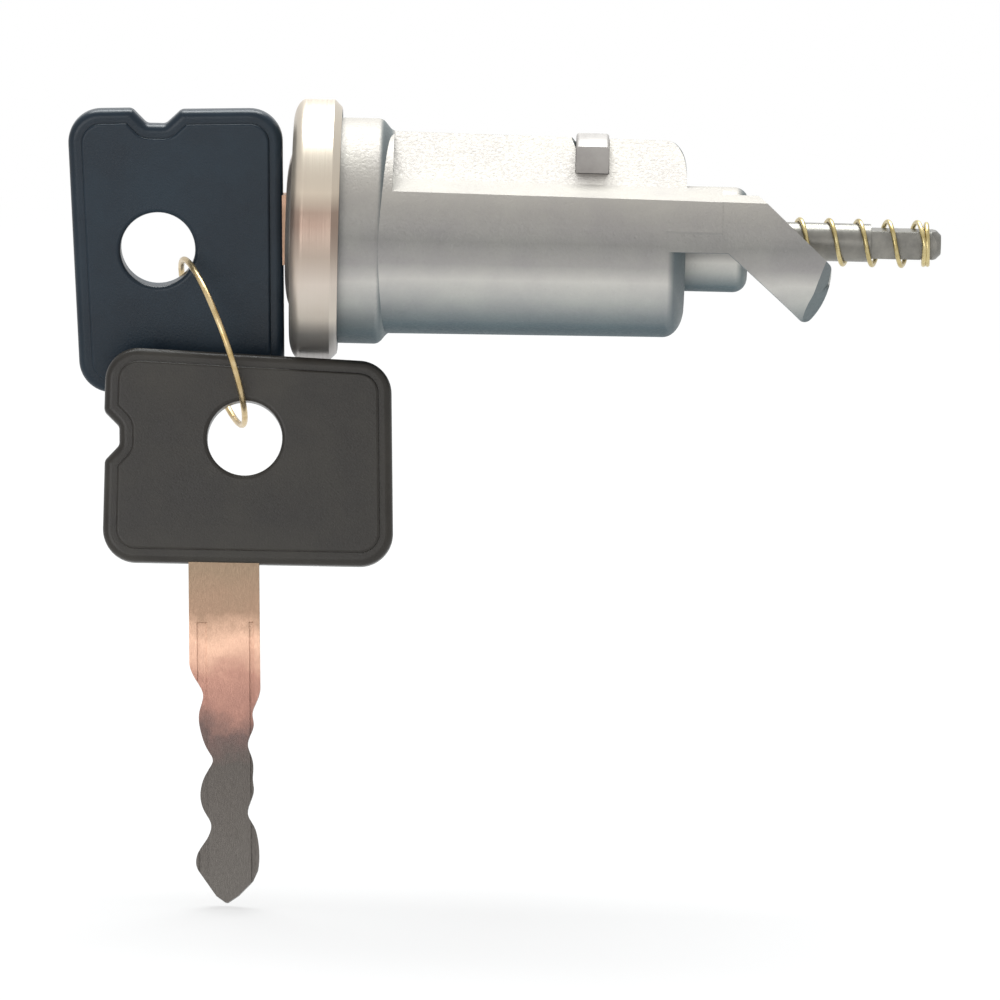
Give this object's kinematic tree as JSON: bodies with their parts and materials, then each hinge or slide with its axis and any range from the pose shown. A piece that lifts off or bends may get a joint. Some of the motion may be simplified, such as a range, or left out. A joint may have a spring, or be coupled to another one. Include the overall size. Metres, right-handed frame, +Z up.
{
  "type": "ignition lock cylinder with keys",
  "caption": "Turning ignition lock barrel with side rib, sprung retaining lug, slanted cam nose and sprung drive rod, its key in the lock and a spare key on a wire ring.",
  "frame": {"origin": "on the lock's axis, in the rear face of the flange, where the collar begins", "axes": "+X along the lock's axis towards its rear end, +Z up as in the picture, -Y is the side with the rib that faces the camera"},
  "size_m": [0.1031, 0.0383, 0.0926],
  "materials": {
    "housing": "matte as-cast zinc",
    "face_cap": "satin pressed steel",
    "head_washer": "plain spring steel",
    "plug_retaining_pin": "ground steel pin",
    "plug": "turned zinc alloy",
    "plug_cap": "satin pressed steel",
    "wafer": "blanked brass",
    "wafer_springs": "bright spring wire",
    "retaining_lug": "cast zinc, satin",
    "lug_spring": "bright spring wire",
    "drive_rod": "zinc plated, slightly worn",
    "rod_pin": "ground steel pin",
    "drive_spring": "yellow zinc plated wire",
    "key_1_head": "moulded, slightly polished",
    "key_2_head": "moulded, slightly polished",
    "key_1_blade": "nickel plated brass, brushed",
    "key_2_blade": "nickel plated brass, brushed",
    "wire_ring": "bare drawn wire"
  },
  "bodies": {
    "lock_body": {"housing": "housing", "face_cap": "face_cap", "head_washer": "head_washer", "plug_retaining_pin": "plug_retaining_pin", "lug_spring": "lug_spring"},
    "plug_unit": {"plug": "plug", "plug_cap": "plug_cap", "wafer_1": "wafer", "wafer_2": "wafer", "wafer_3": "wafer", "wafer_4": "wafer", "wafer_5": "wafer", "wafer_6": "wafer", "wafer_7": "wafer", "wafer_8": "wafer", "wafer_9": "wafer", "wafer_springs": "wafer_springs", "rod_pin": "rod_pin", "drive_spring": "drive_spring"},
    "lug": {"retaining_lug": "retaining_lug"},
    "rod": {"drive_rod": "drive_rod"},
    "key_1": {"key_1_head": "key_1_head", "key_1_blade": "key_1_blade"},
    "ring": {"wire_ring": "wire_ring"},
    "key_2": {"key_2_head": "key_2_head", "key_2_blade": "key_2_blade"}
  },
  "joints": [
    {"name": "key_turn", "type": "hinge", "parent": "lock_body", "child": "plug_unit", "pos_m": [0, 0, 0], "axis": [1, 0, 0], "range_deg": [0, 110]},
    {"name": "rod_press", "type": "slide", "parent": "plug_unit", "child": "rod", "axis": [-1, 0, 0], "range_m": [0, 0.0035], "stiffness_N_per_m": 900, "springref_m": -0.002, "deforming": ["drive_spring"]},
    {"name": "lug_press", "type": "slide", "parent": "lock_body", "child": "lug", "axis": [0, 0, -1], "range_m": [0, 0.0008], "stiffness_N_per_m": 1500, "springref_m": -0.0008, "deforming": ["lug_spring"]},
    {"name": "key_withdraw", "type": "slide", "parent": "plug_unit", "child": "key_1", "axis": [-1, 0, 0], "range_m": [0, 0.042]},
    {"name": "ring_swing", "type": "hinge", "parent": "key_1", "child": "ring", "pos_m": [-0.0186, 0, -0.0043], "axis": [0, 1, 0], "range_deg": [0, 30]},
    {"name": "spare_key_swing", "type": "hinge", "parent": "ring", "child": "key_2", "pos_m": [-0.0106, -0.00887, -0.02102], "axis": [0, 0.9744, -0.225], "range_deg": [0, 30]}
  ]
}
